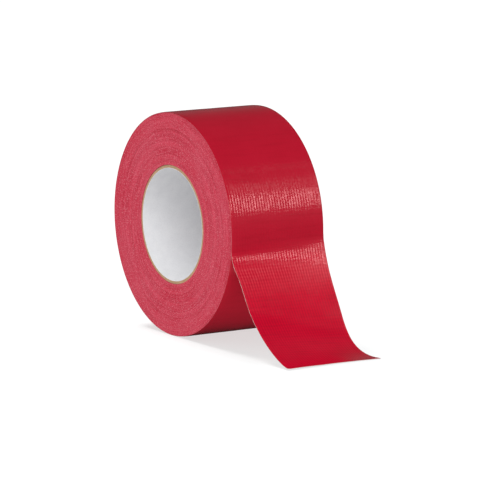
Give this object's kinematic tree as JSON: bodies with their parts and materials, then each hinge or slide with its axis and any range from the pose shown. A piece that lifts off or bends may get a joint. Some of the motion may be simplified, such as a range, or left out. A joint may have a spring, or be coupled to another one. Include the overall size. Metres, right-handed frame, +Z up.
{
  "type": "duct tape roll",
  "caption": "Wide roll of red cloth-backed duct tape on a paper core, standing on its rim with a free tail curling down to the surface.",
  "frame": {"origin": "centre of the core's bore, halfway across the width of the tape", "axes": "+Y along the core's axis, +Z up as the roll stands on its rim, +X the way the free tail points"},
  "size_m": [0.2187, 0.072, 0.1514],
  "materials": {
    "liner_paper": "matte",
    "kraft_board": "matte",
    "wound_tape": "matte",
    "red_film": "gloss",
    "scrim_cloth": "matte",
    "adhesive": "satin"
  },
  "bodies": {
    "roll": {"core_liner": "liner_paper", "core_ply_1": "kraft_board", "core_ply_2": "kraft_board", "core_ply_3": "kraft_board", "wound_tape": "wound_tape", "outer_turn_adhesive": "adhesive", "outer_turn_scrim": "scrim_cloth", "outer_turn_film": "red_film"},
    "tail_1": {"tail_1_adhesive": "adhesive", "tail_1_scrim": "scrim_cloth", "tail_1_film": "red_film"},
    "tail_2": {"tail_2_adhesive": "adhesive", "tail_2_scrim": "scrim_cloth", "tail_2_film": "red_film"},
    "tail_3": {"tail_3_adhesive": "adhesive", "tail_3_scrim": "scrim_cloth", "tail_3_film": "red_film"},
    "tail_4": {"tail_4_adhesive": "adhesive", "tail_4_scrim": "scrim_cloth", "tail_4_film": "red_film"}
  },
  "joints": [
    {"name": "tail_peel", "type": "hinge", "parent": "roll", "child": "tail_1", "pos_m": [0.0752, 0, -0.00923], "axis": [0, -1, 0], "range_deg": [-25, 90]},
    {"name": "tail_curl", "type": "hinge", "parent": "tail_1", "child": "tail_2", "pos_m": [0.08664, 0, -0.03098], "axis": [0.0183, -0.9998, 0.01], "range_deg": [-25, 10]},
    {"name": "tail_curl_2", "type": "hinge", "parent": "tail_2", "child": "tail_3", "pos_m": [0.09989, 0, -0.05158], "axis": [0.0705, -0.9965, 0.0439], "range_deg": [-37.5, 15]},
    {"name": "tail_curl_3", "type": "hinge", "parent": "tail_3", "child": "tail_4", "pos_m": [0.11765, 0, -0.06828], "axis": [0.0875, -0.9946, 0.0559], "range_deg": [-50, 20]}
  ],
  "couplings": [
    {"joint": "tail_curl_2", "follows": "tail_curl", "ratio": 1.5},
    {"joint": "tail_curl_3", "follows": "tail_curl", "ratio": 2}
  ]
}
